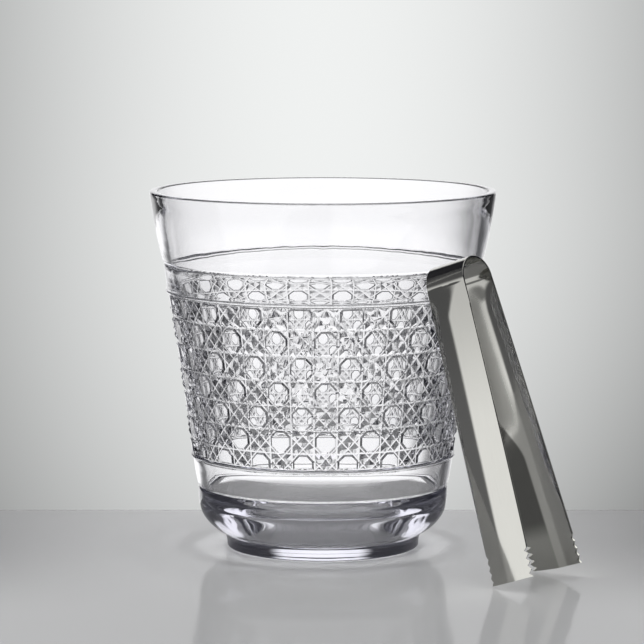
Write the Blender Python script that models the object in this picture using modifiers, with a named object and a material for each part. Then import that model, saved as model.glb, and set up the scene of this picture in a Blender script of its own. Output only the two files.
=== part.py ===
"""Ice bucket of heavy cut crystal with a pair of folded steel ice tongs.

Frame: metres, +Z up, origin at the centre of the bucket's foot, on the table plane.
The bucket is one turned solid. The tongs are one folded strip, modelled as its bow and its
two arms, because the strip bends where each arm leaves the bow. They stand on the left
corners of their tips, just clear of the table, and lean towards the bucket's front right side.
"""

import math

import bmesh
import bpy
from mathutils import Matrix, Vector

MM = 0.001                # all sizes below are in millimetres

# ---- bucket sizes --------------------------------------------------------------------
HEIGHT = 197.0            # foot to lip
RIM_RADIUS = 94.9         # outside of the lip
LIP_WALL = 4.4            # glass thickness at the lip
FOOT_RADIUS = 51.8        # edge of the flat face it stands on
FLOOR_HEIGHT = 8.0        # lowest point of the inside floor, on the axis
FLOOR_CURVE = 103.0       # radius of curvature of the dished inside floor
BAND_BOTTOM = 53.0        # the cut band lies between these heights
BAND_TOP = 140.9
BEAD_HEIGHT = 142.3       # raised line above the cut band
COLLAR_GROOVE = 158.0     # groove where the flared collar starts
COLLAR_BULGE = 0.45       # how far the collar's outside bows outwards
STEP_HEIGHT = 51.6        # raised line below the cut band
BASE_GROOVE = 34.5        # groove round the thick base
TURN_STEPS = 64
WELD_DISTANCE = 0.01      # merges the turned points on the axis and at the seam

# Flares: radius at the bottom, then its linear and its quadratic growth up to the top
BAND_FLARE = (72.8, 9.6, 3.0)
WALL_FLARE = (65.0, 19.3, 6.3)
WALL_BOTTOM = 45.0        # height where the inside wall's flare starts

FLOOR_RADII = (0.0, 10.0, 20.0, 30.0, 39.0, 47.0)
WALL_HEIGHTS = (52.0, 72.0, 96.0, 120.0, 144.0, 168.0, 188.0)
BAND_HEIGHTS = (BAND_TOP, 122.0, 100.0, 78.0, BAND_BOTTOM + 0.6)

# Outline tables: (radius, height), in order from the lip's inside down to the foot
LIP = [
    (RIM_RADIUS - LIP_WALL + 0.1, HEIGHT - 1.6),
    (RIM_RADIUS - LIP_WALL + 0.6, HEIGHT - 0.5),
    (RIM_RADIUS - LIP_WALL / 2.0 - 0.9, HEIGHT),
    (RIM_RADIUS - LIP_WALL / 2.0 + 0.8, HEIGHT),
    (RIM_RADIUS - 0.5, HEIGHT - 0.5),
    (RIM_RADIUS, HEIGHT - 1.5),
]
COLLAR_ENDS = [(RIM_RADIUS - 0.4, HEIGHT - 4.0), (88.3, COLLAR_GROOVE + 2.0)]
GROOVE = [
    (88.0, COLLAR_GROOVE + 0.8), (87.1, COLLAR_GROOVE + 0.1),
    (87.1, COLLAR_GROOVE - 0.5), (87.6, COLLAR_GROOVE - 1.0),
]
NECK_AND_BEAD = [
    (86.5, 151.0), (85.8, 144.6),
    (85.9, BEAD_HEIGHT + 1.0), (86.2, BEAD_HEIGHT), (85.9, BEAD_HEIGHT - 0.9),
]
STEP = [(72.9, STEP_HEIGHT + 0.7), (72.7, STEP_HEIGHT), (71.9, STEP_HEIGHT - 1.2)]
BASE = [
    (71.3, 49.0), (70.6, 42.5), (69.5, 37.6),
    (69.1, BASE_GROOVE + 1.0), (68.3, BASE_GROOVE + 0.3),
    (68.3, BASE_GROOVE - 0.4), (68.8, BASE_GROOVE - 1.1),
    (68.6, 27.5), (68.0, 22.8), (66.4, 18.4), (63.6, 14.5), (60.0, 11.2),
    (56.2, 8.8), (54.2, 7.5), (53.4, 5.4), (52.9, 3.0), (52.9, 1.2),
    (FOOT_RADIUS + 0.6, 0.3), (FOOT_RADIUS, 0.0),
]
FOOT_FACE = [(24.0, 0.0), (0.0, 0.0)]

# ---- tongs sizes ---------------------------------------------------------------------
TONGS_LENGTH = 169.2      # top of the bow to the tips, along the middle plane
SHEET = 1.0               # strip thickness
BOW_DEPTH = 11.6          # top of the bow to where the arms start
BOW_HALF_GAP = 12.8       # middle plane to the strip's middle where the arms start
MID_HALF_GAP = 17.7       # the same, half way down the arms
TIP_HALF_GAP = 23.3       # the same, at the tips
BOW_WIDTH = 24.3          # strip width at the same three places
MID_WIDTH = 26.0
TIP_WIDTH = 26.2
DISH = 3.4                # how far the arm's middle stands outside its edges at the tips
DISH_START = 22.0         # distance from the top of the bow where the dishing starts
DISH_FULL = 88.0          # and where it reaches its full depth
DISH_POWER = 2.6          # shape of the dish across the strip: higher is flatter in the middle
TOOTH_ZONE = 15.8         # length of the toothed edges at the tips
TEETH = 4                 # teeth on each edge of each arm
TOOTH_DEPTH = 1.9
FLEX_GAP = 0.4            # gap between the bow and each arm, on the bending line

BOW_STEPS_AROUND = 28
BOW_STEPS_ACROSS = 6
ARM_STEPS = 22            # even steps from the bow to the toothed edges
# Mesh columns across an arm, as fractions of its half width
ARM_COLUMNS = (-1.0, -0.9, -0.78, -0.62, -0.42, -0.2, 0.0, 0.2, 0.42, 0.62, 0.78, 0.9, 1.0)

# ---- where the tongs stand -----------------------------------------------------------
TURN = math.radians(36.0)   # turned about the vertical, clockwise from above
LEAN = math.radians(18.4)   # leaning to the tongs' left, towards the bucket
STAND_GAP = 0.3             # tip corners above the table plane
FRONT_LEFT_TIP = Vector((88.3, -121.7, STAND_GAP))   # front arm's left tip corner


# ---- scene and materials -------------------------------------------------------------
def clear_scene():
    for item in list(bpy.data.objects):
        bpy.data.objects.remove(item, do_unlink=True)
    for group in list(bpy.data.collections):
        bpy.data.collections.remove(group)


def make_material(name, colour, roughness, metallic=0.0, transmission=0.0, ior=1.5):
    material = bpy.data.materials.new(name)
    material.use_nodes = True
    inputs = material.node_tree.nodes["Principled BSDF"].inputs
    inputs["Base Color"].default_value = (*colour, 1.0)
    inputs["Roughness"].default_value = roughness
    inputs["Metallic"].default_value = metallic
    inputs["Transmission Weight"].default_value = transmission
    inputs["IOR"].default_value = ior
    material.diffuse_color = (*colour, 1.0)
    return material


def make_crystal():
    return make_material(
        "cut_crystal", colour=(0.93, 0.93, 0.96), roughness=0.02, transmission=1.0, ior=1.54
    )


def make_steel():
    return make_material(
        "polished_steel", colour=(0.62, 0.61, 0.57), roughness=0.14, metallic=1.0
    )


def add_object(name, shape, collection, material):
    """Turn a bmesh into a linked object, and free the bmesh."""
    mesh = bpy.data.meshes.new(name)
    shape.to_mesh(mesh)
    shape.free()
    mesh.materials.append(material)
    item = bpy.data.objects.new(name, mesh)
    collection.objects.link(item)
    return item


# ---- bucket --------------------------------------------------------------------------
def flared_radius(z, bottom, top, flare):
    """Radius of a cone that flares more towards the top."""
    u = (z - bottom) / (top - bottom)
    start, linear, quadratic = flare
    return start + linear * u + quadratic * u * u


def arc(centre_radius, centre_height, radius, start, end, count):
    """Points of a circular arc, angles in degrees."""
    angles = [math.radians(start + (end - start) * i / count) for i in range(count + 1)]
    return [
        (centre_radius + radius * math.cos(angle), centre_height + radius * math.sin(angle))
        for angle in angles
    ]


def bowed_line(start, end, bulge, count):
    """Points from start down to end, bowed away from the axis by bulge half way."""
    start, end = Vector(start), Vector(end)
    way = end - start
    outward = Vector((-way.y, way.x)).normalized()
    fractions = [i / count for i in range(count + 1)]
    return [tuple(start + way * u + outward * (bulge * 4.0 * u * (1.0 - u))) for u in fractions]


def bucket_profile():
    """Half section, from the inside floor at the axis, over the lip, down to the foot."""
    floor = [(r, FLOOR_HEIGHT + r * r / (2.0 * FLOOR_CURVE)) for r in FLOOR_RADII]
    fillet = arc(
        centre_radius=45.97, centre_height=38.27, radius=18.0, start=297.8, end=353.0, count=6
    )
    wall = [(flared_radius(z, WALL_BOTTOM, HEIGHT, WALL_FLARE), z) for z in WALL_HEIGHTS]
    collar = bowed_line(*COLLAR_ENDS, bulge=COLLAR_BULGE, count=3)
    band = [(flared_radius(z, BAND_BOTTOM, BAND_TOP, BAND_FLARE), z) for z in BAND_HEIGHTS]
    inside = floor + fillet + wall
    return inside + LIP + collar + GROOVE + NECK_AND_BEAD + band + STEP + BASE + FOOT_FACE


def build_bucket(collection, material):
    shape = bmesh.new()
    points = [shape.verts.new((radius * MM, 0.0, z * MM)) for radius, z in bucket_profile()]
    for pair in zip(points, points[1:]):
        shape.edges.new(pair)
    bucket = add_object("crystal_bucket", shape, collection, material)
    screw = bucket.modifiers.new("turn", "SCREW")
    screw.axis = "Z"
    screw.angle = 2.0 * math.pi
    screw.steps = TURN_STEPS
    screw.render_steps = TURN_STEPS
    screw.use_merge_vertices = True
    screw.merge_threshold = WELD_DISTANCE * MM
    screw.use_smooth_shade = True


# ---- tongs ---------------------------------------------------------------------------
# Tongs frame: origin at the top of the bow, x across the strip, y towards the rear arm,
# z up the strip.

def along_arm(distance, start, middle, end):
    """Smooth curve through three values: at the arm's start, half way down and at the tip."""
    u = (distance - BOW_DEPTH) / (TONGS_LENGTH - BOW_DEPTH)
    return (
        start * (1.0 - u) * (1.0 - 2.0 * u)
        + middle * 4.0 * u * (1.0 - u)
        + end * u * (2.0 * u - 1.0)
    )


def ramp(x, low, high):
    """Smooth rise from 0 at low to 1 at high."""
    u = min(1.0, max(0.0, (x - low) / (high - low)))
    return u * u * (3.0 - 2.0 * u)


def build_strip(name, rows, columns, place, origin, frame, collection, material):
    """Thickened grid. place(row, column) gives each point in the tongs frame."""
    shape = bmesh.new()
    bmesh.ops.create_grid(shape, x_segments=columns, y_segments=rows, size=1.0)
    for vert in shape.verts:
        column = round((vert.co.x + 1.0) / 2.0 * columns)
        row = round((vert.co.y + 1.0) / 2.0 * rows)
        vert.co = (Vector(place(row, column)) - origin) * MM
    strip = add_object(name, shape, collection, material)
    strip.parent = frame
    strip.location = origin * MM
    sheet = strip.modifiers.new("sheet", "SOLIDIFY")
    sheet.thickness = SHEET * MM
    sheet.offset = 0.0
    sheet.use_even_offset = True


def build_bow(frame, collection, material):
    def place(row, column):
        angle = math.pi * row / BOW_STEPS_AROUND
        return (
            (2.0 * column / BOW_STEPS_ACROSS - 1.0) * BOW_WIDTH / 2.0,
            -BOW_HALF_GAP * math.cos(angle),
            BOW_DEPTH * (math.sin(angle) - 1.0),
        )

    build_strip("tongs_bow", BOW_STEPS_AROUND, BOW_STEPS_ACROSS, place, Vector(),
                frame, collection, material)


def arm_rows():
    """(distance from the top of the bow, edge cut-back): even steps, then two to a tooth."""
    start = BOW_DEPTH + FLEX_GAP
    zone = TONGS_LENGTH - TOOTH_ZONE
    plain = [(start + (zone - start) * i / ARM_STEPS, 0.0) for i in range(ARM_STEPS + 1)]
    toothed = [
        (zone + TOOTH_ZONE * i / (2 * TEETH), TOOTH_DEPTH * (i % 2))
        for i in range(1, 2 * TEETH + 1)
    ]
    return plain + toothed


def build_arm(name, side, frame, collection, material):
    """side is -1 for the front arm and 1 for the rear arm."""
    rows = arm_rows()
    last_column = len(ARM_COLUMNS) - 1

    def place(row, column):
        distance, cut_back = rows[row]
        across = ARM_COLUMNS[column]
        half_width = along_arm(distance, BOW_WIDTH, MID_WIDTH, TIP_WIDTH) / 2.0
        if column in (0, last_column):
            half_width -= cut_back
        half_gap = along_arm(distance, BOW_HALF_GAP, MID_HALF_GAP, TIP_HALF_GAP)
        dish = DISH * ramp(distance, DISH_START, DISH_FULL) * (1.0 - abs(across) ** DISH_POWER)
        return (across * half_width, side * (half_gap + dish), -distance)

    # The arm's origin lies on its bending line, where it leaves the bow
    hinge = Vector((0.0, side * BOW_HALF_GAP, -(BOW_DEPTH + FLEX_GAP / 2.0)))
    build_strip(name, len(rows) - 1, last_column, place, hinge, frame, collection, material)


def build_tongs_frame(collection):
    """Empty at the top of the bow, placed so that the front arm's left tip corner stands."""
    turn = Matrix.Rotation(-TURN, 4, "Z") @ Matrix.Rotation(-LEAN, 4, "Y")
    tip_corner = Vector((-TIP_WIDTH / 2.0, -TIP_HALF_GAP, -TONGS_LENGTH))
    top = FRONT_LEFT_TIP - turn.to_3x3() @ tip_corner
    frame = bpy.data.objects.new("tongs_stand", None)
    frame.matrix_world = Matrix.Translation(top * MM) @ turn
    collection.objects.link(frame)
    return frame


def main():
    clear_scene()
    collection = bpy.data.collections.new("ice_bucket")
    bpy.context.scene.collection.children.link(collection)
    crystal = make_crystal()
    steel = make_steel()

    build_bucket(collection, crystal)
    frame = build_tongs_frame(collection)
    build_bow(frame, collection, steel)
    build_arm("tongs_front_arm", -1, frame, collection, steel)
    build_arm("tongs_rear_arm", 1, frame, collection, steel)
    bpy.context.view_layer.update()


main()
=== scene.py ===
"""Cut crystal ice bucket with folded steel tongs leaning on it, on a pale table.

Row frame, in metres: +Z up, the bucket's axis on Z, its foot on z = 0, the camera towards -Y.
Shape sizes are in millimetres and are scaled by MM where corners are made.
"""

import math

import bmesh
import bpy
import numpy as np
from mathutils import Matrix, Vector


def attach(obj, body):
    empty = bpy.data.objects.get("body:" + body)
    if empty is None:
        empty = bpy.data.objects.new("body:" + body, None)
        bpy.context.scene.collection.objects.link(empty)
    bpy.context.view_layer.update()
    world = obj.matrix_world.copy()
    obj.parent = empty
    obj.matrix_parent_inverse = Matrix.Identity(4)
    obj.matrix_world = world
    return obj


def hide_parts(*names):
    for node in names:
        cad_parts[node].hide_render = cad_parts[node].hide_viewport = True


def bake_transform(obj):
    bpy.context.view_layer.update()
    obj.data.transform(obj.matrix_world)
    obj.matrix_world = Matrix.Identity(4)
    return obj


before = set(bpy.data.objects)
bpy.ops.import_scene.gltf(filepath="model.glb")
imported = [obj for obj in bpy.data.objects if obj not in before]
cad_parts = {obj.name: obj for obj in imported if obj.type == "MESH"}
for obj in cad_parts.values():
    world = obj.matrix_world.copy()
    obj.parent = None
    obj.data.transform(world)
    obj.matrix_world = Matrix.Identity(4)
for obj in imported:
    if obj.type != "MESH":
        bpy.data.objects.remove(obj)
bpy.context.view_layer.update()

MM = 0.001
TAU = 2.0 * math.pi

# ---------------------------------------------------------------- crystal sizes, millimetres
HEIGHT = 197.0
RIM_RADIUS = 94.9
LIP_WALL = 4.4
LIP_ROUND = 1.2                   # radius of the lip's rounded corners
FOOT_RADIUS = 51.8
FLOOR_HEIGHT = 8.0
FLOOR_CURVE = 103.0               # radius of curvature of the dished inside floor
COLUMNS = 38                      # cells round the band, octagons and crosses in turn
CELL = TAU / COLUMNS
FIRST_COLUMN = math.radians(1.15)  # the first column's middle, from -Y towards +X
ROW_LINES = [143.4, 128.8, 114.7, 101.0, 87.6, 74.55, 61.75, 49.05]  # heights between rows
CORNER = math.sqrt(2.0) - 1.0     # octagon corner in a cell that runs from -1 to 1
CROSS = 2.0 - math.sqrt(2.0)      # corner of the diamond in the middle of a cross cell
BAND_TOP = 140.9
# the lowest row ends at the lower corners of its octagons
BAND_BOTTOM = (0.5 * (ROW_LINES[6] + ROW_LINES[7])
               - CORNER * 0.5 * (ROW_LINES[6] - ROW_LINES[7]))
BAND_REF_LOW = 53.0               # height where the band's radius is BAND_CURVE[0]
BAND_CURVE = (72.8, 9.6, 3.0)     # constant, linear and square parts of the band's radius
INNER_REF_LOW = 45.0
INNER_CURVE = (65.0, 19.3, 6.3)   # the same for the inside wall
GROOVE = 1.3                      # how far the cuts lie inside the band's radius
STRIP = 0.34                      # half width of the polished line left in each cut
SLOPE = 0.60                      # rise of the small pyramids' faces
BEVEL_SLOPE = 0.84                # rise of the bevels round the octagons
DISH_CENTRE = 0.68                # height of the octagon's hollow at its middle
DISH_RADIUS = 90.0                # its radius of curvature
DISH_GUIDE = 1.15                 # inset of the outline that sets the directions of its rays
DISH_STEP = math.radians(16.0)    # widest angle between rays
DISH_RINGS = (1.0, 0.8, 0.56, 0.3)
TURN = 228                        # segments of the turned surfaces

# Outside profile below the collar and below the band: (radius, height)
GROOVE_PROFILE = [(88.05, 159.1), (87.6, 158.5), (87.1, 158.1), (87.05, 157.6), (87.25, 157.2),
                  (87.4, 156.4)]
PLAIN_PROFILE = [(86.9, 153.6), (86.35, 149.8), (85.95, 146.2), (85.8, 144.4), (85.85, 143.5)]
WAIST_PROFILE = [(71.75, 50.2), (71.3, 48.2), (70.9, 45.2), (70.3, 41.2), (69.5, 37.4),
                 (69.15, 35.7), (68.6, 35.1), (68.3, 34.6), (68.3, 34.2), (68.6, 33.7)]
BOWL_PROFILE = [(68.8, 33.0), (68.65, 27.5), (68.0, 22.8), (66.4, 18.4), (63.6, 14.5),
                (60.0, 11.2), (56.2, 8.8), (54.3, 7.6)]
FOOT_PROFILE = [(54.3, 7.6), (53.5, 5.4), (53.0, 3.0), (52.9, 1.2), (52.5, 0.35),
                (FOOT_RADIUS, 0.0)]
BASE_PROFILE = [(38.0, 0.0), (20.0, 0.0), (0.0, 0.0)]


def quadratic(parts, share):
    return parts[0] + parts[1] * share + parts[2] * share * share


def band_radius(z):
    return quadratic(BAND_CURVE, (z - BAND_REF_LOW) / (BAND_TOP - BAND_REF_LOW))


def inner_radius(z):
    return quadratic(INNER_CURVE, (z - INNER_REF_LOW) / (HEIGHT - INNER_REF_LOW))


# ---------------------------------------------------------------- mesh helpers
def add_object(name, mesh):
    item = bpy.data.objects.new(name, mesh)
    bpy.context.scene.collection.objects.link(item)
    return item


def face_outward(shape):
    bmesh.ops.recalc_face_normals(shape, faces=shape.faces)
    if shape.calc_volume(signed=True) < 0.0:
        bmesh.ops.reverse_faces(shape, faces=shape.faces)


def mark_sharp(shape, angle):
    for edge in shape.edges:
        if len(edge.link_faces) == 2 and edge.calc_face_angle(0.0) > angle:
            edge.smooth = False


# ---------------------------------------------------------------- flat polygons
def clip_polygon(points, normal_x, normal_y, offset):
    """The part of a convex polygon where normal_x*x + normal_y*y >= offset."""
    out = []
    for i, here in enumerate(points):
        ahead = points[(i + 1) % len(points)]
        depth = normal_x * here[0] + normal_y * here[1] - offset
        depth_ahead = normal_x * ahead[0] + normal_y * ahead[1] - offset
        if depth >= -1e-9:
            out.append(here)
        if (depth > 1e-9 and depth_ahead < -1e-9) or (depth < -1e-9 and depth_ahead > 1e-9):
            share = depth / (depth - depth_ahead)
            out.append((here[0] + (ahead[0] - here[0]) * share,
                        here[1] + (ahead[1] - here[1]) * share))
    clean = []
    for point in out:
        if not clean or math.dist(point, clean[-1]) > 1e-6:
            clean.append(point)
    if len(clean) > 1 and math.dist(clean[0], clean[-1]) < 1e-6:
        clean.pop()
    return clean


def edges_of(points):
    """(normal x, normal y, offset) of a counter-clockwise polygon's edges, normals inwards."""
    found = []
    for i, (x, y) in enumerate(points):
        end_x, end_y = points[(i + 1) % len(points)]
        length = math.hypot(end_x - x, end_y - y)
        normal_x, normal_y = -(end_y - y) / length, (end_x - x) / length
        found.append((normal_x, normal_y, normal_x * x + normal_y * y))
    return found


def corner_inset(points, distance):
    """The polygon moved in with the same corners, or None if an edge would vanish."""
    lines = edges_of(points)
    out = []
    for i, line in enumerate(lines):
        before = lines[i - 1]
        cross = before[0] * line[1] - before[1] * line[0]
        if abs(cross) < 1e-6:
            return None
        first, second = before[2] + distance, line[2] + distance
        out.append(((first * line[1] - second * before[1]) / cross,
                    (before[0] * second - line[0] * first) / cross))
    for i, new in enumerate(out):
        j = (i + 1) % len(out)
        new_end, old, old_end = out[j], points[i], points[j]
        along = ((new_end[0] - new[0]) * (old_end[0] - old[0])
                 + (new_end[1] - new[1]) * (old_end[1] - old[1]))
        if along <= 0.02:
            return None
    return out


def widest_point(points):
    """Centre and radius of the largest circle in a convex polygon, by halving."""
    lines = edges_of(points)
    fits, fails = 0.0, 20.0
    best = points
    for _ in range(26):
        middle = 0.5 * (fits + fails)
        shape = list(points)
        for normal_x, normal_y, offset in lines:
            shape = clip_polygon(shape, normal_x, normal_y, offset + middle)
            if len(shape) < 3:
                break
        if len(shape) >= 3:
            fits, best = middle, shape
        else:
            fails = middle
    x = sum(point[0] for point in best) / len(best)
    y = sum(point[1] for point in best) / len(best)
    return (x, y), fits


def quarter_turns(points, count):
    for _ in range(count):
        points = [(-y, x) for x, y in points]
    return points


def cell_shapes(octagon):
    """(is a button, polygon) for one cell, counter-clockwise, in a square from -1 to 1."""
    if octagon:
        outline = [(1, -CORNER), (1, CORNER), (CORNER, 1), (-CORNER, 1),
                   (-1, CORNER), (-1, -CORNER), (-CORNER, -1), (CORNER, -1)]
        shapes = [(True, outline)]
        repeated = [[(1, CORNER), (1, 1), (CORNER, 1)]]
    else:
        shapes = [(False, [(CROSS, 0), (0, CROSS), (-CROSS, 0), (0, -CROSS)])]
        repeated = [[(CROSS, 0), (1, CORNER), (1, 1), (CORNER, 1), (0, CROSS)],
                    [(CROSS, 0), (1, -CORNER), (1, CORNER)]]
    for turns in range(4):
        shapes += [(False, quarter_turns(polygon, turns)) for polygon in repeated]
    return shapes


# ---------------------------------------------------------------- cut band
class Surface:
    """Collects corners and faces of the closed crystal mesh."""

    def __init__(self):
        self.points, self.faces, self.smooth, self.shared = [], [], [], {}

    def add(self, angle, radius, z):
        self.points.append((radius * math.sin(angle) * MM, -radius * math.cos(angle) * MM, z * MM))
        return len(self.points) - 1

    def common(self, column, z):
        """A corner in the cuts' own surface, shared by the shapes that meet there."""
        key = (round(column * 4000) % (COLUMNS * 4000), round(z * 1000))
        if key not in self.shared:
            angle = FIRST_COLUMN + column * CELL
            self.shared[key] = (self.add(angle, band_radius(z) - GROOVE, z), angle % TAU, z)
        return self.shared[key][0]

    def face(self, corners, smooth=False):
        kept = [corner for i, corner in enumerate(corners) if corner != corners[i - 1]]
        if len(kept) >= 3:
            self.faces.append(kept)
            self.smooth.append(smooth)


def button_rim(flat):
    """Rim of an octagon's hollow as (x, y), and which of its points are at corners."""
    guide = corner_inset(flat, DISH_GUIDE) or flat
    lines = edges_of(flat)
    rays, corner_at = [], []
    for i, (x, y) in enumerate(guide):
        next_x, next_y = guide[(i + 1) % len(guide)]
        start = math.atan2(y, x)
        sweep = (math.atan2(next_y, next_x) - start) % TAU
        corner_at.append(len(rays))
        steps = max(1, round(sweep / DISH_STEP))
        rays += [start + sweep * j / steps for j in range(steps)]
    rim = []
    for angle in rays:
        # the nearest place where the dish meets one of the bevels
        reach = 1e9
        for normal_x, normal_y, offset in lines:
            slope = -BEVEL_SLOPE * (normal_x * math.cos(angle) + normal_y * math.sin(angle))
            rest = DISH_CENTRE + BEVEL_SLOPE * offset
            root = slope * slope - 2.0 * rest / DISH_RADIUS
            if root > 0.0:
                reach = min(reach, DISH_RADIUS * (-slope + math.sqrt(root)))
        rim.append((reach * math.cos(angle), reach * math.sin(angle)))
    return rim, corner_at


def fill_pyramid(surface, place, inner, inset):
    (x, y), reach = widest_point(inset)
    top = place(x, y, SLOPE * reach)
    for i, corner in enumerate(inner):
        surface.face([corner, inner[(i + 1) % len(inner)], top])


def fill_button(surface, place, inner, inset):
    """Bevels up to the rim of the hollow, and the hollow itself in rings."""
    rim, corner_at = button_rim(inset)
    rings = []
    for share in DISH_RINGS:
        rings.append([
            place(x * share, y * share,
                  DISH_CENTRE + (x * x + y * y) * share * share / (2.0 * DISH_RADIUS))
            for x, y in rim
        ])
    count, rim_count = len(inner), len(rim)
    for i in range(count):
        first = corner_at[i]
        last = corner_at[i + 1] if i + 1 < count else rim_count
        half_steps = (last - first + 1) // 2
        following = inner[(i + 1) % count]
        for j in range(last - first):
            anchor = inner[i] if j < half_steps else following
            surface.face([anchor, rings[0][(first + j + 1) % rim_count], rings[0][first + j]])
        surface.face([inner[i], following, rings[0][(first + half_steps) % rim_count]])
    for outer_ring, inner_ring in zip(rings, rings[1:]):
        for i in range(rim_count):
            j = (i + 1) % rim_count
            surface.face([outer_ring[i], outer_ring[j], inner_ring[j], inner_ring[i]], True)
    centre = place(0.0, 0.0, DISH_CENTRE)
    for i in range(rim_count):
        surface.face([rings[-1][i], rings[-1][(i + 1) % rim_count], centre], True)


def row_outlines(octagon, width, half, middle):
    """(is a button, outline in cell units, inset in millimetres), kept within the band."""
    highest = min(1.0, (BAND_TOP - middle) / half)
    lowest = max(-1.0, (BAND_BOTTOM - middle) / half)
    outlines = []
    for button, polygon in cell_shapes(octagon):
        cut = clip_polygon(clip_polygon(polygon, 0, -1, -highest), 0, 1, lowest)
        if len(cut) < 3:
            continue
        flat = [(x * width, y * half) for x, y in cut]
        area = 0.5 * sum(flat[i - 1][0] * y - x * flat[i - 1][1] for i, (x, y) in enumerate(flat))
        if area >= 1e-4:
            outlines.append((button, cut, corner_inset(flat, STRIP)))
    return outlines


def build_cell(surface, column, width, half, middle, outlines):
    def place(x, y, height):
        z = middle + y
        angle = FIRST_COLUMN + (column + 0.5 * x / width) * CELL
        return surface.add(angle, band_radius(z) - GROOVE + height, z)

    for button, cut, inset in outlines:
        outer = [surface.common(column + 0.5 * x, middle + y * half) for x, y in cut]
        if inset is None:
            surface.face(outer)
            continue
        inner = [place(x, y, 0.0) for x, y in inset]
        for i in range(len(outer)):
            j = (i + 1) % len(outer)
            surface.face([outer[i], outer[j], inner[j], inner[i]])
        fill = fill_button if button else fill_pyramid
        fill(surface, place, inner, inset)


def build_band(surface):
    for row, (z_top, z_low) in enumerate(zip(ROW_LINES, ROW_LINES[1:])):
        middle, half = 0.5 * (z_top + z_low), 0.5 * (z_top - z_low)
        width = band_radius(middle) * CELL / 2.0
        for octagon in (True, False):
            outlines = row_outlines(octagon, width, half, middle)
            for column in range(COLUMNS):
                if ((column + row) % 2 == 1) == octagon:
                    build_cell(surface, column, width, half, middle, outlines)


# ---------------------------------------------------------------- turned surfaces
def arc(centre_x, centre_z, radius, start, end, count):
    """Points on an arc, angles in degrees."""
    angles = [math.radians(start + (end - start) * i / count) for i in range(count + 1)]
    return [(centre_x + radius * math.cos(angle), centre_z + radius * math.sin(angle))
            for angle in angles]


def bulged_line(start, end, bulge, count):
    """Points on a parabola between two points, bulging to the right of its direction."""
    run, rise = end[0] - start[0], end[1] - start[1]
    length = math.hypot(run, rise)
    out = []
    for i in range(count + 1):
        share = i / count
        aside = bulge * 4.0 * share * (1.0 - share) / length
        out.append((start[0] + run * share + rise * aside, start[1] + rise * share - run * aside))
    return out


def catmull_rom(before, start, end, after, share):
    return 0.5 * (2 * start + (end - before) * share
                  + (2 * before - 5 * start + 4 * end - after) * share * share
                  + (3 * start - before - 3 * end + after) * share ** 3)


def smooth_curve(points, steps):
    """A Catmull-Rom curve through the points, with its ends kept."""
    last = len(points) - 1
    out = []
    for i in range(last):
        near = [points[min(max(i + k, 0), last)] for k in (-1, 0, 1, 2)]
        for j in range(steps):
            out.append(tuple(catmull_rom(*values, j / steps) for values in zip(*near)))
    return out + [points[-1]]


def ring(surface, radius, z):
    if radius < 1e-6:
        return [surface.add(0.0, 0.0, z)]
    return [surface.add(TAU * i / TURN, radius, z) for i in range(TURN)]


def join_rings(surface, rings):
    for first, second in zip(rings, rings[1:]):
        if len(first) == 1:
            first = first * TURN
        if len(second) == 1:
            second = second * TURN
        for i in range(TURN):
            j = (i + 1) % TURN
            surface.face([first[i], first[j], second[j], second[i]], True)


def zip_border(surface, z, plain):
    """Joins the cut band's border at height z to a plain ring, walking round both."""
    border = sorted((angle, index) for index, angle, height in surface.shared.values()
                    if abs(height - z) < 0.002)
    cut = [index for _, index in border]
    cut_angles = [angle for angle, _ in border]
    plain_angles = [TAU * i / TURN for i in range(TURN)]
    cut_count, plain_count = len(cut), len(plain)
    i = j = 0
    while i < cut_count or j < plain_count:
        next_cut = cut_angles[i + 1] if i + 1 < cut_count else cut_angles[0] + TAU
        next_plain = plain_angles[j + 1] if j + 1 < plain_count else plain_angles[0] + TAU
        here, across = cut[i % cut_count], plain[j % plain_count]
        if j >= plain_count or (i < cut_count and next_cut <= next_plain):
            surface.face([here, cut[(i + 1) % cut_count], across], True)
            i += 1
        else:
            surface.face([here, plain[(j + 1) % plain_count], across], True)
            j += 1


def upper_profile():
    """Up the inside from the axis, over the lip and down the outside to the cut band."""
    profile = [(r, FLOOR_HEIGHT + r * r / (2.0 * FLOOR_CURVE)) for r in np.linspace(0.0, 53.0, 22)]
    profile += arc(45.97, 38.27, 18.0, 297.8, 353.0, 18)
    profile += [(inner_radius(z), z) for z in np.linspace(44.0, 190.0, 26)]
    profile += [(RIM_RADIUS - LIP_WALL + 0.05, HEIGHT - 2.5)]
    lip_z = HEIGHT - LIP_ROUND
    profile += arc(RIM_RADIUS - LIP_WALL + 1.3, lip_z, LIP_ROUND, 180.0, 95.0, 7)
    profile += arc(RIM_RADIUS - LIP_ROUND, lip_z, LIP_ROUND, 85.0, 0.0, 7)
    profile += bulged_line((RIM_RADIUS - 0.25, HEIGHT - 4.0), (88.3, 160.2), -0.45, 12)
    profile += GROOVE_PROFILE + PLAIN_PROFILE
    profile += arc(85.5, 142.35, 0.85, 70.0, -70.0, 6)      # bead over the band
    return profile + [(band_radius(BAND_TOP) - 0.25, BAND_TOP + 0.5)]


def lower_profile():
    """From the cut band down to the foot and in to the axis."""
    profile = [(band_radius(BAND_BOTTOM) - 0.25, BAND_BOTTOM - 0.45)]
    profile += arc(72.0, 51.55, 0.85, 60.0, -60.0, 6)       # bead under the band
    profile += WAIST_PROFILE + smooth_curve(BOWL_PROFILE, 3)
    return profile + smooth_curve(FOOT_PROFILE, 2)[1:] + BASE_PROFILE


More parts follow.
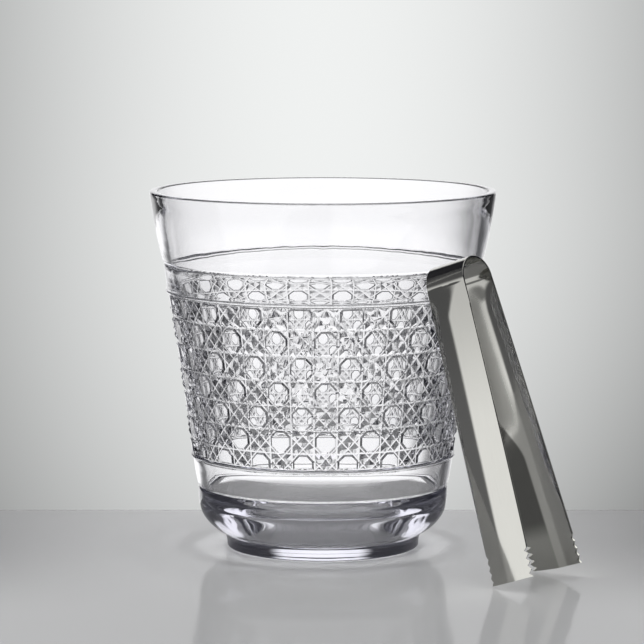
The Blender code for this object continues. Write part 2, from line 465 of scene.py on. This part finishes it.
def build_crystal():
    surface = Surface()
    rings = [ring(surface, radius, z) for radius, z in upper_profile()]
    join_rings(surface, rings)
    build_band(surface)
    zip_border(surface, BAND_TOP, rings[-1])
    rings = [ring(surface, radius, z) for radius, z in lower_profile()]
    zip_border(surface, BAND_BOTTOM, rings[0])
    join_rings(surface, rings)

    mesh = bpy.data.meshes.new("crystal_bucket_cut")
    mesh.from_pydata(surface.points, [], surface.faces)
    mesh.polygons.foreach_set("use_smooth", surface.smooth)
    shape = bmesh.new()
    shape.from_mesh(mesh)
    bmesh.ops.remove_doubles(shape, verts=shape.verts, dist=1e-6)
    face_outward(shape)
    mark_sharp(shape, math.radians(24.0))
    bmesh.ops.triangulate(shape, faces=[face for face in shape.faces if len(face.verts) > 4])
    shape.to_mesh(mesh)
    shape.free()
    return add_object("crystal_bucket_cut", mesh)


# ---------------------------------------------------------------- tongs, millimetres
# The tongs' own frame: crown of the bow at the origin, arms down -Z, front arm on -Y.
TONGS_LENGTH = 169.2
SHEET = 1.0                       # thickness
EDGE_BEVEL = 0.16
BOW_DEPTH = 11.6
# at the foot of the bow, half way down the arm and at the tip
HALF_GAPS = (12.8, 17.7, 23.3)
WIDTHS = (24.3, 26.0, 26.2)
TOOTH_ZONE, TEETH, TOOTH_DEPTH = 15.8, 4, 1.9
TOOTH_STEPS = 8                   # rows of the mesh in each tooth
TONGS_TURN, TONGS_LEAN = math.radians(36.0), math.radians(18.4)
FRONT_LEFT_TIP, STAND_GAP = (88.3, -121.7), 0.3   # where that corner stands, and its height
CHANNEL_DEPTH = 2.9
BOW_STEPS, ACROSS_STEPS = 36, 34
REAR_SPARE = 5.0                  # extra reach of the rear arm towards the bucket
INNER = 100.0                     # sideways offset of the inner face in the strip's own map
MAP_SCALE = 100.0                 # millimetres to one unit of the map


def along_arm(distance, values):
    """The parabola through values at the foot of the bow, half way down and at the tip."""
    u = (distance - BOW_DEPTH) / (TONGS_LENGTH - BOW_DEPTH)
    start, middle, end = values
    return start * (1 - u) * (1 - 2 * u) + middle * 4 * u * (1 - u) + end * u * (2 * u - 1)


def ramp(x, start, end):
    share = min(1.0, max(0.0, (x - start) / (end - start)))
    return share * share * (3.0 - 2.0 * share)


def strip_width(distance):
    return WIDTHS[0] if distance <= BOW_DEPTH else along_arm(distance, WIDTHS)


def tongs_matrix():
    turn = Matrix.Rotation(-TONGS_TURN, 4, "Z") @ Matrix.Rotation(-TONGS_LEAN, 4, "Y")
    corner = Vector((-WIDTHS[2] / 2.0, -HALF_GAPS[2], -TONGS_LENGTH))
    stand = Vector((*FRONT_LEFT_TIP, STAND_GAP))
    return Matrix.Translation((stand - turn.to_3x3() @ corner) * MM) @ turn


def notch(distance):
    """How far the toothed edge is cut back at this distance down the arm."""
    into = distance - (TONGS_LENGTH - TOOTH_ZONE)
    if not 0.0 < into < TOOTH_ZONE - 1e-6:
        return 0.0
    phase = (into / (TOOTH_ZONE / TEETH)) % 1.0
    return TOOTH_DEPTH * (1.0 - abs(2.0 * phase - 1.0))


def channel(distance):
    """Depth of the pressed channel: it starts in the arm near the bow."""
    return CHANNEL_DEPTH * (0.80 * ramp(distance, 8.0, 28.0) + 0.20 * ramp(distance, 20.0, 90.0))


def centre_rows():
    """(y, z, distance down the arm) from crown to tip; the distance is 0 in the bow."""
    rows = []
    for i in range(BOW_STEPS + 1):
        angle = math.pi / 2.0 * (1.0 - i / BOW_STEPS)
        rows.append((HALF_GAPS[0] * math.cos(angle), BOW_DEPTH * (math.sin(angle) - 1.0), 0.0))
    rows.insert(1, (0.02, 0.0, 0.0))
    zone = TONGS_LENGTH - TOOTH_ZONE
    distances = [BOW_DEPTH + 0.5, BOW_DEPTH + 1.1, BOW_DEPTH + 1.8]
    distances += list(np.linspace(14.2, 22.0, 14))
    distances += list(np.linspace(23.2, zone, 96))
    steps = TOOTH_STEPS * TEETH
    distances += [zone + TOOTH_ZONE * i / steps for i in range(1, steps + 1)]
    return rows + [(along_arm(distance, HALF_GAPS), -distance, distance) for distance in distances]


def sheet_grid(rows, side):
    """Middle surface of the sheet, row by row, from -X to +X."""
    across = [-1.0 + 2.0 * i / ACROSS_STEPS for i in range(ACROSS_STEPS + 1)]
    across = [math.copysign(abs(share) ** 0.9, share) for share in across]
    grid = np.zeros((len(rows), len(across), 3))
    for i, (y, z, distance) in enumerate(rows):
        half = strip_width(distance) / 2.0
        edge = half - notch(distance)
        depth = channel(distance)
        # the rear arm reaches a little further, so that no gap shows behind the front one
        spare = REAR_SPARE * ramp(distance, 50.0, 150.0) if side > 0 else 0.0
        for j, share in enumerate(across):
            x = share * half
            if abs(x) > edge:
                x = math.copysign(edge + (abs(x) - edge) * 0.02, x)
            bulge = depth * (1.0 - (abs(x) / half) ** 2.1)
            lift = 0.0
            if x < 0.0:
                reach = spare * abs(share) ** 2
                x -= reach
                lift = reach * 0.34 * ramp(distance, 140.0, TONGS_LENGTH)
            grid[i, j] = (x, side * (y + bulge), z + lift)
    return grid


def sheet_normals(grid, side):
    """Unit normals of the sheet, pointing away from the other arm."""
    normal = np.cross(np.gradient(grid, axis=0), np.gradient(grid, axis=1))
    length = np.linalg.norm(normal, axis=2, keepdims=True)
    normal = normal / np.maximum(length, 1e-9)
    rows, columns = grid.shape[:2]
    # where the notch squeezes columns together, take the normal of the nearest open column
    for i in range(rows):
        good = [j for j in range(columns) if length[i, j, 0] > 1e-4]
        for j in range(columns):
            if length[i, j, 0] <= 1e-4:
                normal[i, j] = normal[i, min(good, key=lambda column: abs(column - j))]
    normal[0] = (0.0, 0.0, math.copysign(1.0, normal[3, columns // 2, 2]))
    return normal if normal[rows // 2, columns // 2, 1] * side > 0 else -normal


def section_loop(points, normals, length):
    """(position, map place) round one section of the sheet, starting on its outer face."""
    last = len(points) - 1
    edge_dir = points[-1] - points[0]
    edge_dir /= np.linalg.norm(edge_dir)
    pulls = [EDGE_BEVEL] + [0.0] * (last - 1) + [-EDGE_BEVEL]
    half = SHEET / 2.0
    wall = half - EDGE_BEVEL

    def corner(j, offset, pull, shift):
        place = points[j] + normals[j] * offset + edge_dir * pull
        return place, (points[j][0] + shift, length)

    loop = [corner(j, half, pulls[j], 0.0) for j in range(last + 1)]
    loop += [corner(last, wall, 0.0, 0.0), corner(last, -wall, 0.0, 0.0)]
    loop += [corner(j, -half, pulls[j], INNER) for j in reversed(range(last + 1))]
    return loop + [corner(0, -wall, 0.0, INNER), corner(0, wall, 0.0, 0.0)]


def sheet_faces(loops, columns):
    """Faces between the loops, and quads that close both ends; with their smoothing."""
    faces = []
    count = len(loops[0])
    for first, second in zip(loops, loops[1:]):
        for i in range(count):
            j = (i + 1) % count
            faces.append((first[i], first[j], second[j], second[i]))
    sides = len(faces)
    for loop in (loops[0], loops[-1]):
        outer, inner = loop[:columns], loop[columns + 2 : 2 * columns + 2][::-1]
        for j in range(columns - 1):
            faces.append((outer[j], outer[j + 1], inner[j + 1], inner[j]))
        faces.append((outer[-1], loop[columns], loop[columns + 1], inner[-1]))
        faces.append((outer[0], inner[0], loop[-2], loop[-1]))
    return faces, [True] * sides + [False] * (len(faces) - sides)


def build_half(name, side):
    """Half of the folded strip, from the crown of the bow to one pair of toothed edges."""
    rows = centre_rows()
    lengths = [0.0]
    for before, here in zip(rows, rows[1:]):
        lengths.append(lengths[-1] + math.dist(before[:2], here[:2]))
    grid = sheet_grid(rows, side)
    normals = sheet_normals(grid, side)
    matrix = tongs_matrix()
    verts, coords, loops = [], [], []
    for points, row_normals, length in zip(grid, normals, lengths):
        section = section_loop(points, row_normals, length)
        loops.append(list(range(len(verts), len(verts) + len(section))))
        verts += [tuple(matrix @ (Vector(place) * MM)) for place, _ in section]
        coords += [map_place for _, map_place in section]
    faces, smooth = sheet_faces(loops, grid.shape[1])

    mesh = bpy.data.meshes.new(name)
    mesh.from_pydata(verts, [], faces)
    mesh.polygons.foreach_set("use_smooth", smooth)
    layer = mesh.uv_layers.new(name="strip")
    for loop in mesh.loops:
        sideways, along = coords[loop.vertex_index]
        layer.data[loop.index].uv = (sideways / MAP_SCALE, along / MAP_SCALE)
    shape = bmesh.new()
    shape.from_mesh(mesh)
    face_outward(shape)
    mark_sharp(shape, math.radians(30.0))
    shape.to_mesh(mesh)
    shape.free()
    return add_object(name, mesh)


# ---------------------------------------------------------------- node helpers
class Num:
    """A number in a node tree. Arithmetic on it adds Math nodes."""

    def __init__(self, tree, socket):
        self.tree, self.socket = tree, socket

    def math(self, operation, *others):
        node = self.tree.nodes.new("ShaderNodeMath")
        node.operation = operation
        for slot, value in zip(node.inputs, (self,) + others):
            if isinstance(value, Num):
                self.tree.links.new(value.socket, slot)
            else:
                slot.default_value = value
        return Num(self.tree, node.outputs[0])

    def __add__(self, other):
        return self.math("ADD", other)

    __radd__ = __add__

    def __sub__(self, other):
        return self.math("SUBTRACT", other)

    def __rsub__(self, other):
        return self.math("MULTIPLY", -1.0).math("ADD", other)

    def __mul__(self, other):
        return self.math("MULTIPLY", other)

    __rmul__ = __mul__

    def __truediv__(self, other):
        return self.math("DIVIDE", other)

    def __abs__(self):
        return self.math("ABSOLUTE")

    def maximum(self, other):
        return self.math("MAXIMUM", other)

    def step(self, off, on):
        """Smooth step from 0 at off to 1 at on."""
        node = self.tree.nodes.new("ShaderNodeMapRange")
        node.interpolation_type = "SMOOTHSTEP"
        self.tree.links.new(self.socket, node.inputs["Value"])
        node.inputs["From Min"].default_value = min(off, on)
        node.inputs["From Max"].default_value = max(off, on)
        node.inputs["To Min"].default_value = 0.0 if off < on else 1.0
        node.inputs["To Max"].default_value = 1.0 if off < on else 0.0
        return Num(self.tree, node.outputs[0])

    def window(self, rise, fall):
        """Rises from 0 to 1 over the first pair, falls from 1 to 0 over the second."""
        return self.step(off=rise[0], on=rise[1]) * self.step(off=fall[1], on=fall[0])


def vector_math(tree, operation, *vectors):
    node = tree.nodes.new("ShaderNodeVectorMath")
    node.operation = operation
    for slot, value in zip(node.inputs, vectors):
        if isinstance(value, tuple):
            slot.default_value = value
        else:
            tree.links.new(value, slot)
    return node.outputs["Value"] if operation in ("DOT_PRODUCT", "LENGTH") else node.outputs["Vector"]


def separate(tree, vector):
    node = tree.nodes.new("ShaderNodeSeparateXYZ")
    tree.links.new(vector, node.inputs[0])
    return [Num(tree, node.outputs[i]) for i in range(3)]


def turn_vector(tree, start, end):
    node = tree.nodes.new("ShaderNodeVectorTransform")
    node.vector_type, node.convert_from, node.convert_to = "VECTOR", start, end
    return node


def camera_axes(tree):
    """The camera's level forward and right directions, in the row frame."""
    turn = turn_vector(tree, "CAMERA", "WORLD")
    turn.inputs[0].default_value = (0.0, 0.0, 1.0)
    level = vector_math(tree, "MULTIPLY", turn.outputs[0], (1.0, 1.0, 0.0))
    ahead = vector_math(tree, "NORMALIZE", level)
    return ahead, vector_math(tree, "CROSS_PRODUCT", ahead, (0.0, 0.0, 1.0))


def combine(tree, *channels):
    """A colour from red, green and blue."""
    node = tree.nodes.new("ShaderNodeCombineColor")
    for slot, value in zip(node.inputs, channels):
        tree.links.new(value.socket, slot)
    return node.outputs[0]


def tinted(tree, value, tint):
    return combine(tree, *[value * part for part in tint])


def noise(tree, vector, scale, detail):
    node = tree.nodes.new("ShaderNodeTexNoise")
    node.inputs["Scale"].default_value = scale
    node.inputs["Detail"].default_value = detail
    tree.links.new(vector, node.inputs["Vector"])
    return Num(tree, node.outputs["Fac"])


def add_bump(tree, shader, height, strength, distance):
    bump = tree.nodes.new("ShaderNodeBump")
    bump.inputs["Strength"].default_value = strength
    bump.inputs["Distance"].default_value = distance
    tree.links.new(height.socket, bump.inputs["Height"])
    tree.links.new(bump.outputs["Normal"], shader.inputs["Normal"])


def mix_shaders(tree, first, second):
    mix = tree.nodes.new("ShaderNodeMixShader")
    tree.links.new(first.outputs[0], mix.inputs[1])
    tree.links.new(second.outputs[0], mix.inputs[2])
    return mix


def from_display(value):
    """Scene brightness of a display value between 0 and 1 (sRGB curve)."""
    return ((value + 0.055) / 1.055).math("POWER", 2.4)


def new_material(name):
    material = bpy.data.materials.new(name)
    material.use_nodes = True
    tree = material.node_tree
    tree.nodes.clear()
    return material, tree, tree.nodes.new("ShaderNodeOutputMaterial")


# ---------------------------------------------------------------- materials
def crystal_material():
    material, tree, out = new_material("cut_crystal")
    glass = tree.nodes.new("ShaderNodeBsdfPrincipled")
    glass.inputs["Transmission Weight"].default_value = 1.0
    glass.inputs["IOR"].default_value = 1.545
    place = tree.nodes.new("ShaderNodeTexCoord").outputs["Object"]
    # slow waviness of hand polished glass, and faint wipe marks in its polish
    wave = noise(tree, place, scale=70.0, detail=1.5)
    add_bump(tree, glass, wave, strength=0.25, distance=0.00012)
    marks = noise(tree, place, scale=420.0, detail=3.0)
    marks_rough, far_rough = 0.006, 0.32
    rough = marks.step(off=0.50, on=0.85) * marks_rough
    # seen through the near wall, the far cuts melt into a soft shimmer
    fade = 2.0
    band = separate(tree, place)[2].window(
        rise=(BAND_BOTTOM * MM, (BAND_BOTTOM + fade) * MM),
        fall=((BAND_TOP - fade) * MM, BAND_TOP * MM),
    )
    walls = Num(tree, tree.nodes.new("ShaderNodeLightPath").outputs["Transmission Depth"])
    rough = rough + band * walls.step(off=2.4, on=2.6) * far_rough
    tree.links.new(rough.socket, glass.inputs["Roughness"])
    # nearly white, its tint varying a little with the waves
    color = combine(tree, 0.996 + wave * 0.004, 0.996 + wave * 0.003, 1.0 - wave * 0.001)
    tree.links.new(color, glass.inputs["Base Color"])
    body = tree.nodes.new("ShaderNodeVolumeAbsorption")
    body.inputs["Color"].default_value = (0.80, 0.80, 0.90, 1.0)
    body.inputs["Density"].default_value = 8.0
    tree.links.new(glass.outputs[0], out.inputs["Surface"])
    tree.links.new(body.outputs[0], out.inputs["Volume"])
    return material


def steel_material():
    """Polished steel; places are in map units, sideways over the strip and along from the crown."""
    material, tree, out = new_material("polished_steel")
    steel = tree.nodes.new("ShaderNodeBsdfPrincipled")
    steel.inputs["Metallic"].default_value = 1.0
    uv_map = tree.nodes.new("ShaderNodeUVMap")
    uv_map.uv_map = "strip"
    strip = uv_map.outputs[0]
    grain_stretch = (300.0, 5.0, 1.0)
    stretched = vector_math(tree, "MULTIPLY", strip, grain_stretch)
    grain = noise(tree, stretched, scale=1.0, detail=4.0)
    cloud = noise(tree, strip, scale=9.0, detail=2.0)
    sideways, along, _ = separate(tree, strip)
    inner = sideways.step(off=0.5, on=0.7)
    # satin patch towards the -X edge of the inner face
    satin = inner * (sideways - 1.0).step(off=0.02, on=-0.04)
    satin = satin * along.window(rise=(0.20, 0.32), fall=(0.92, 1.05))
    # roughness: polish, then what grain, clouds and satin add
    rough = 0.045 + grain * 0.05 + cloud.step(off=0.45, on=0.75) * 0.03 + satin * 0.34
    tree.links.new(rough.socket, steel.inputs["Roughness"])
    # brightness: varied by grain and clouds, with painted shade darker near the bow
    shade = (0.94 + grain * 0.08 + cloud * 0.04) * (0.66 + 0.34 * along.step(off=0.16, on=1.05))
    # painted shade: the inner faces are darker low down, towards the -X edge, and less so at the tip,
    # standing in for dark reflections
    border = along.step(off=1.18, on=0.90) * 0.085 + 0.028
    painted_shade = (border + (sideways - 1.0)).step(off=0.006, on=-0.010)
    tip_clear, painted_shade_depth = 0.55, 0.74
    painted_shade = inner * painted_shade * along.step(off=0.90, on=1.00)
    painted_shade = painted_shade * (1.0 - tip_clear * along.step(off=1.50, on=1.62))
    shade = shade * (1.0 - painted_shade_depth * painted_shade)
    tree.links.new(tinted(tree, shade, tint=(0.80, 0.795, 0.74)), steel.inputs["Base Color"])
    add_bump(tree, steel, grain, strength=0.12, distance=0.00003)
    tree.links.new(steel.outputs[0], out.inputs["Surface"])
    return material


def floor_material():
    """Pale polished table top that ends a little behind the object, as seen by the camera."""
    material, tree, out = new_material("pale_table")
    place = tree.nodes.new("ShaderNodeTexCoord")
    across_view, y, _ = separate(tree, place.outputs["Window"])
    x = (across_view - 0.5) * 2.0      # -1 to 1 over the view's width
    # painted light: display brightness to the camera, 0.75 falling off to the sides, 0.71 at the
    # bottom, standing in for the backdrop's light reflected in the table
    far = 0.75 - 0.20 * x * x - 0.02 * x
    near = y.step(off=0.17, on=0.04)
    display = far * (1.0 - near) + 0.71 * near
    seen_gain = 1.06
    base = from_display(display) * seen_gain
    seen = Num(tree, tree.nodes.new("ShaderNodeLightPath").outputs["Is Camera Ray"])
    # other rays meet a darker table, with a painted shadow darkest under the foot
    under_foot, open_extra = 0.20, 0.06
    spot = tree.nodes.new("ShaderNodeNewGeometry")
    flat = vector_math(tree, "MULTIPLY", spot.outputs["Position"], (1.0, 1.0, 0.0))
    open_table = Num(tree, vector_math(tree, "LENGTH", flat)).step(off=0.046, on=0.060)
    albedo = base * seen + (under_foot + open_extra * open_table) * (1.0 - seen)
    diffuse = tree.nodes.new("ShaderNodeBsdfDiffuse")
    tree.links.new(tinted(tree, albedo, tint=(0.995, 1.0, 0.998)), diffuse.inputs["Color"])
    gloss = tree.nodes.new("ShaderNodeBsdfGlossy")
    gloss.inputs["Roughness"].default_value = 0.09
    gloss.inputs["Color"].default_value = (0.9, 0.9, 0.9, 1.0)
    polished = mix_shaders(tree, diffuse, gloss)
    gloss_share = 0.12
    polished.inputs[0].default_value = gloss_share
    # metres behind the axis and to either side of it where the table ends
    ahead, right = camera_axes(tree)
    position = tree.nodes.new("ShaderNodeNewGeometry").outputs["Position"]
    depth = Num(tree, vector_math(tree, "DOT_PRODUCT", position, ahead))
    aside = abs(Num(tree, vector_math(tree, "DOT_PRODUCT", position, right)))
    beyond = depth.step(off=0.106, on=0.112).maximum(aside.step(off=0.19, on=0.23) * (1.0 - seen))
    cut = mix_shaders(tree, polished, tree.nodes.new("ShaderNodeBsdfTransparent"))
    tree.links.new(beyond.socket, cut.inputs[0])
    tree.links.new(cut.outputs[0], out.inputs["Surface"])
    return material


# ---------------------------------------------------------------- world
def studio_light(heading, height, soft, through):
    """Light by direction, in degrees: heading from ahead to the right, height over level."""
    # backdrop behind the object, broader and dimmer in a low band, with dark sides
    wide = height.window(rise=(-19.0, -15.0), fall=(-7.0, -3.0))
    middle, wide_shift = 1.0, 5.5
    offset = abs(heading - middle + wide_shift * wide) * (1.20 - 0.20 * wide)
    centre = 0.97 - 0.15 * wide + 0.10 * offset.step(off=19.0, on=6.0) * (1.0 - wide)
    side_glow = offset.step(off=62.0, on=34.0) * (0.015 + 0.15 * wide)
    across = offset.step(off=30.0, on=19.0) * centre + side_glow
    # a dimmer patch low on the right of the backdrop
    shade = heading.window(rise=(4.0, 15.0), fall=(34.0, 44.0))
    shade = shade * height.window(rise=(-21.0, -15.0), fall=(-5.0, -1.0))
    shade_depth, above_gain = 0.55, 1.11
    above = height.step(off=-30.0, on=-20.0) * height.step(off=44.0, on=26.0)
    above = above * (1.0 - shade_depth * shade)
    below = height.step(off=-20.0, on=-30.0) * (0.10 + 0.22 * height.step(off=-60.0, on=-25.0))
    # a tall soft panel behind the camera to the left, a faint left side and a faint rear right
    overhead = height.step(off=58.0, on=72.0)
    left = heading.window(rise=(-177.0, -168.0), fall=(-109.0, -103.0))
    left = left * height.window(rise=(-50.0, -30.0), fall=(30.0, 44.0))
    beside = heading.window(rise=(-112.0, -104.0), fall=(-50.0, -40.0))
    fill = heading.window(rise=(80.0, 100.0), fall=(140.0, 160.0))
    fill = fill * height.window(rise=(-20.0, 0.0), fall=(30.0, 50.0))
    # lit ceiling, much stronger overhead for matt surfaces
    ceiling = height.step(off=32.0, on=44.0) * 0.45 + overhead * (0.75 + 3.3 * soft)
    left_gain, beside_gain, fill_gain, glass_loss = 0.85, 0.11, 0.10, 0.93
    lamps = ceiling + left * left_gain + beside * beside_gain + fill * fill_gain
    return across * (above * above_gain + below) + lamps * (1.0 - glass_loss * through)


def seen_backdrop(tree, direction):
    """Brightness the camera sees directly: brightest behind the object."""
    turn = turn_vector(tree, "WORLD", "CAMERA")
    tree.links.new(direction, turn.inputs[0])
    x, y, z = separate(tree, turn.outputs[0])
    depth = abs(z).maximum(0.001)
    # offsets from the line of sight, on a plane this many units ahead
    plane = 3320.0
    aside = x / depth * plane
    up = y / depth * plane
    # darker to both sides, towards the bottom, and more so at the bottom right
    low_start, low_span, right_span = 132.0, 308.0, 317.0
    side_fall, low_fall, corner_fall = 0.00048, 24.0, 13.0
    brightest, full_scale, darkest = 240.5, 255.0, 0.35
    low_part = (low_start - up).maximum(0.0) / low_span
    corner = (aside / right_span).maximum(0.0) * low_part * low_part * corner_fall
    display = brightest - aside * aside * side_fall - low_part * low_part * low_fall - corner
    return from_display((display / full_scale).maximum(darkest))


def build_world():
    world = bpy.data.worlds.new("studio")
    bpy.context.scene.world = world
    world.use_nodes = True
    tree = world.node_tree
    tree.nodes.clear()
    out = tree.nodes.new("ShaderNodeOutputWorld")
    background = tree.nodes.new("ShaderNodeBackground")
    tree.links.new(background.outputs[0], out.inputs["Surface"])
    direction = tree.nodes.new("ShaderNodeTexCoord").outputs["Generated"]
    ahead, right = camera_axes(tree)
    up = separate(tree, direction)[2]
    forward = Num(tree, vector_math(tree, "DOT_PRODUCT", direction, ahead))
    side = Num(tree, vector_math(tree, "DOT_PRODUCT", direction, right))
    degrees = 180.0 / math.pi
    heading = side.math("ARCTAN2", forward) * degrees
    height = up.math("ARCSINE") * degrees
    path = tree.nodes.new("ShaderNodeLightPath")
    # light gathered by a matt surface is the same whether or not it came through glass
    soft = Num(tree, path.outputs["Diffuse Depth"]).step(off=0.4, on=0.6)
    through = Num(tree, path.outputs["Is Transmission Ray"]) * (1.0 - soft)
    light = studio_light(heading, height, soft, through)
    shown = seen_backdrop(tree, direction)
    direct = Num(tree, path.outputs["Is Camera Ray"])
    value = light * (1.0 - direct) + shown * direct
    # a faint bluish glow from everywhere, and slight tints of the rest
    dim = (1.0 - direct) * 0.013
    color = combine(
        tree,
        value * (1.0 - 0.008 * direct) + dim * 0.92,
        value * (1.0 + 0.008 * direct) + dim * 0.95,
        value * (1.006 - 0.006 * direct) + dim * 1.30,
    )
    tree.links.new(color, background.inputs["Color"])


# ---------------------------------------------------------------- stage and camera
def build_stage():
    mesh = bpy.data.meshes.new("table_top")
    shape = bmesh.new()
    bmesh.ops.create_grid(shape, x_segments=8, y_segments=8, size=3.0)
    shape.to_mesh(mesh)
    shape.free()
    table = add_object("table_top", mesh)
    mesh.materials.append(floor_material())
    table.location.z = -0.0002        # a hair under the foot, so that the two faces don't coincide


def build_camera():
    data = bpy.data.cameras.new("camera")
    data.lens = 185.6
    data.sensor_width = 36.0
    data.shift_x = -0.0014
    data.clip_start, data.clip_end = 0.05, 20.0
    camera = add_object("camera", data)
    camera.location = (0.0, -1.815, 0.3385)
    look_down = 6.74
    camera.rotation_euler = (math.radians(90.0 - look_down), 0.0, 0.0)
    bpy.context.scene.camera = camera


def set_render():
    scene = bpy.context.scene
    scene.view_settings.view_transform = "Standard"
    scene.view_settings.look = "None"
    scene.cycles.max_bounces = 40
    scene.cycles.transmission_bounces = 36
    scene.cycles.glossy_bounces = 16
    scene.cycles.diffuse_bounces = 3
    scene.cycles.transparent_max_bounces = 24
    scene.cycles.blur_glossy = 0.0
    scene.cycles.sample_clamp_indirect = 6.0
    scene.cycles.use_denoising = True


# ---------------------------------------------------------------- assembly
crystal = build_crystal()
crystal.data.materials.append(crystal_material())
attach(crystal, "bucket")
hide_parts("crystal_bucket")

# name, side of the tongs' own Y, arm it stands for, pieces it replaces
TONGS_HALVES = (
    ("tongs_front_half", -1, "front_arm", ("tongs_bow", "tongs_front_arm")),
    ("tongs_rear_half", 1, "rear_arm", ("tongs_rear_arm",)),
)
steel = steel_material()
for name, side, arm, replaced in TONGS_HALVES:
    half = build_half(name, side)
    half.data.materials.append(steel)
    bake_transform(half)
    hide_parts(*replaced)

build_stage()
build_world()
build_camera()
set_render()
